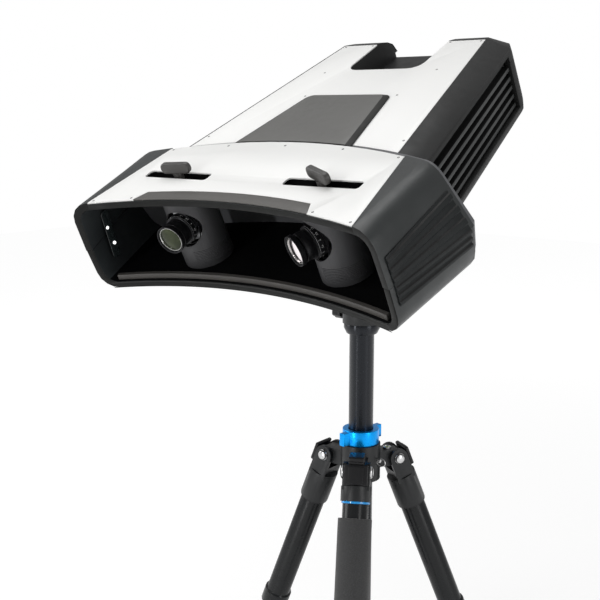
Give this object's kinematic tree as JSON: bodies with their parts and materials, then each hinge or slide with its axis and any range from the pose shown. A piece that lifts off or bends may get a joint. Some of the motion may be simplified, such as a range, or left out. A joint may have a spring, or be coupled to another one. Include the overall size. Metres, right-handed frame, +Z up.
{
  "type": "three-d scanner",
  "caption": "Desktop three-d scanner with sliding, turning cameras in a curved visor, pitched on a tripod with a tilting head.",
  "frame": {"origin": "bottom centre of the bounding box, on the floor", "axes": "+X to the scanner's right, +Y to its back, +Z up"},
  "size_m": [0.601, 0.6018, 1.2017],
  "materials": {
    "bare_aluminium": "machined",
    "black_anodised": "black anodised",
    "black_plastic": "satin",
    "blue_anodised": "blue anodised",
    "bright_steel": "brushed",
    "brown_grey_trim": "satin",
    "charcoal_shell": "fine textured charcoal moulding",
    "circuit_board": "solder mask green",
    "coated_glass": "coated glass",
    "dark_panel": "matte",
    "foam": "soft foam sleeve",
    "gloss_black": "gloss black",
    "grip_rubber": "matte ribbed rubber",
    "light_grey_collar": "satin",
    "matte_black": "matte",
    "painted_casting": "satin black casting",
    "warm_grey_cover": "satin",
    "white_sheet": "satin white sheet metal"
  },
  "bodies": {
    "hub": {"tripod_hub": "painted_casting"},
    "collar": {"column_collar": "blue_anodised"},
    "column": {"column_tube": "gloss_black"},
    "head": {"tripod_head": "painted_casting"},
    "pan_knob": {"pan_lock_knob": "black_plastic"},
    "tilt_knob": {"tilt_lock_knob": "black_plastic"},
    "fan": {"fan_rotor": "black_plastic"},
    "button": {"power_button": "gloss_black"},
    "carriage_left": {"camera_carriage_left": "bright_steel"},
    "camera_left": {"camera_lever_left": "black_plastic", "camera_cowl_left": "matte_black", "camera_body_left": "bare_aluminium", "lens_barrel_left": "black_anodised", "front_lens_left": "coated_glass"},
    "focus_left": {"focus_ring_left": "black_anodised"},
    "aperture_left": {"aperture_ring_left": "black_anodised"},
    "carriage_right": {"camera_carriage_right": "bright_steel"},
    "camera_right": {"camera_lever_right": "black_plastic", "camera_cowl_right": "matte_black", "camera_body_right": "bare_aluminium", "lens_barrel_right": "black_anodised", "front_lens_right": "coated_glass"},
    "focus_right": {"focus_ring_right": "black_anodised"},
    "aperture_right": {"aperture_ring_right": "black_anodised"},
    "leg_front": {"leg_yoke_front": "painted_casting", "leg_upper_tube_front": "gloss_black", "foam_grip": "foam"},
    "section_front": {"leg_lower_tube_front": "gloss_black"},
    "latch_front": {"angle_latch_front": "black_plastic"},
    "leg_right": {"leg_yoke_right": "painted_casting", "leg_upper_tube_right": "gloss_black"},
    "section_right": {"leg_lower_tube_right": "gloss_black"},
    "latch_right": {"angle_latch_right": "black_plastic"},
    "leg_left": {"leg_yoke_left": "painted_casting", "leg_upper_tube_left": "gloss_black"},
    "section_left": {"leg_lower_tube_left": "gloss_black"},
    "latch_left": {"angle_latch_left": "black_plastic"},
    "scanner": {"body_lower_shell": "charcoal_shell", "body_top_plate": "white_sheet", "body_upper_shell": "charcoal_shell", "brow_trim": "brown_grey_trim", "control_board": "circuit_board", "fan_frame": "black_plastic", "mounting_plate": "bright_steel", "projector_housing": "bare_aluminium", "projector_lens": "black_plastic", "raised_cover": "warm_grey_cover", "rear_connector_panel": "dark_panel", "side_grip_left": "grip_rubber", "side_grip_right": "grip_rubber", "side_louvre_left": "dark_panel", "side_louvre_right": "dark_panel", "slide_rail": "bright_steel", "tilt_platform": "painted_casting", "visor_lower_shell": "charcoal_shell", "visor_rear_collar": "light_grey_collar", "visor_top_plate": "white_sheet", "visor_upper_shell": "charcoal_shell"}
  },
  "joints": [
    {"name": "collar_turn", "type": "hinge", "parent": "hub", "child": "collar", "pos_m": [0, 0.04147, 0.5833], "axis": [0, 0, 1], "range_deg": [-45, 45]},
    {"name": "column_slide", "type": "slide", "parent": "hub", "child": "column", "axis": [0, 0, 1], "range_m": [-0.14, 0.2]},
    {"name": "head_pan", "type": "hinge", "parent": "column", "child": "head", "pos_m": [0, 0.04147, 0.9313], "axis": [0, 0, 1], "continuous": true},
    {"name": "pan_knob_turn", "type": "hinge", "parent": "head", "child": "pan_knob", "pos_m": [-0.034, 0.04147, 0.7891], "axis": [1, 0, 0], "range_deg": [-180, 180]},
    {"name": "tilt_knob_turn", "type": "hinge", "parent": "head", "child": "tilt_knob", "pos_m": [0, 0.04147, 0.9313], "axis": [1, 0, 0], "range_deg": [-180, 180]},
    {"name": "head_tilt", "type": "hinge", "parent": "head", "child": "scanner", "pos_m": [0, 0.04147, 0.9313], "axis": [1, 0, 0], "range_deg": [-46.8, 15]},
    {"name": "camera_slide_left", "type": "slide", "parent": "scanner", "child": "carriage_left", "axis": [1, 0, 0], "range_m": [-0.047, 0.047]},
    {"name": "camera_turn_left", "type": "hinge", "parent": "carriage_left", "child": "camera_left", "pos_m": [-0.123, -0.22122, 1.00643], "axis": [0, -0.4509, 0.8926], "range_deg": [-35.9, 24.1]},
    {"name": "focus_turn_left", "type": "hinge", "parent": "camera_left", "child": "focus_left", "pos_m": [-0.123, -0.19146, 0.94751], "axis": [0.1028, -0.8879, -0.4485], "range_deg": [-90, 90]},
    {"name": "aperture_turn_left", "type": "hinge", "parent": "camera_left", "child": "aperture_left", "pos_m": [-0.123, -0.19146, 0.94751], "axis": [0.1028, -0.8879, -0.4485], "range_deg": [-40, 40]},
    {"name": "camera_slide_right", "type": "slide", "parent": "scanner", "child": "carriage_right", "axis": [1, 0, 0], "range_m": [-0.047, 0.047]},
    {"name": "camera_turn_right", "type": "hinge", "parent": "carriage_right", "child": "camera_right", "pos_m": [0.123, -0.22122, 1.00643], "axis": [0, -0.4509, 0.8926], "range_deg": [-5.7, 54.3]},
    {"name": "focus_turn_right", "type": "hinge", "parent": "camera_right", "child": "focus_right", "pos_m": [0.123, -0.19146, 0.94751], "axis": [-0.4115, -0.8135, -0.4109], "range_deg": [-90, 90]},
    {"name": "aperture_turn_right", "type": "hinge", "parent": "camera_right", "child": "aperture_right", "pos_m": [0.123, -0.19146, 0.94751], "axis": [-0.4115, -0.8135, -0.4109], "range_deg": [-40, 40]},
    {"name": "fan_spin", "type": "hinge", "parent": "scanner", "child": "fan", "pos_m": [-0.14703, 0.15824, 1.09537], "axis": [1, 0, 0], "continuous": true},
    {"name": "button_press", "type": "slide", "parent": "scanner", "child": "button", "axis": [0, -0.8926, -0.4509], "range_m": [0, 0.002], "stiffness_N_per_m": 300, "springref_m": -0.001},
    {"name": "leg_fold_front", "type": "hinge", "parent": "hub", "child": "leg_front", "pos_m": [0.02954, -0.00868, 0.5553], "axis": [0.8616, 0.5075, 0], "range_deg": [0, 19]},
    {"name": "leg_extend_front", "type": "slide", "parent": "leg_front", "child": "section_front", "axis": [0.1918, -0.3256, -0.9259], "range_m": [0, 0.17]},
    {"name": "latch_pull_front", "type": "slide", "parent": "leg_front", "child": "latch_front", "axis": [0.4699, -0.7978, 0.3778], "range_m": [0, 0.004], "stiffness_N_per_m": 400, "springref_m": -0.001},
    {"name": "leg_fold_right", "type": "hinge", "parent": "hub", "child": "leg_right", "pos_m": [0.02866, 0.09212, 0.5553], "axis": [-0.8704, 0.4924, 0], "range_deg": [0, 19]},
    {"name": "leg_extend_right", "type": "slide", "parent": "leg_right", "child": "section_right", "axis": [0.1861, 0.3289, -0.9259], "range_m": [0, 0.17]},
    {"name": "latch_pull_right", "type": "slide", "parent": "leg_right", "child": "latch_right", "axis": [0.4559, 0.8058, 0.3778], "range_m": [0, 0.004], "stiffness_N_per_m": 400, "springref_m": -0.001},
    {"name": "leg_fold_left", "type": "hinge", "parent": "hub", "child": "leg_left", "pos_m": [-0.0582, 0.04096, 0.5553], "axis": [0.0087, -1, 0], "range_deg": [0, 19]},
    {"name": "leg_extend_left", "type": "slide", "parent": "leg_left", "child": "section_left", "axis": [-0.3778, -0.0033, -0.9259], "range_m": [0, 0.17]},
    {"name": "latch_pull_left", "type": "slide", "parent": "leg_left", "child": "latch_left", "axis": [-0.9258, -0.0081, 0.3778], "range_m": [0, 0.004], "stiffness_N_per_m": 400, "springref_m": -0.001}
  ]
}
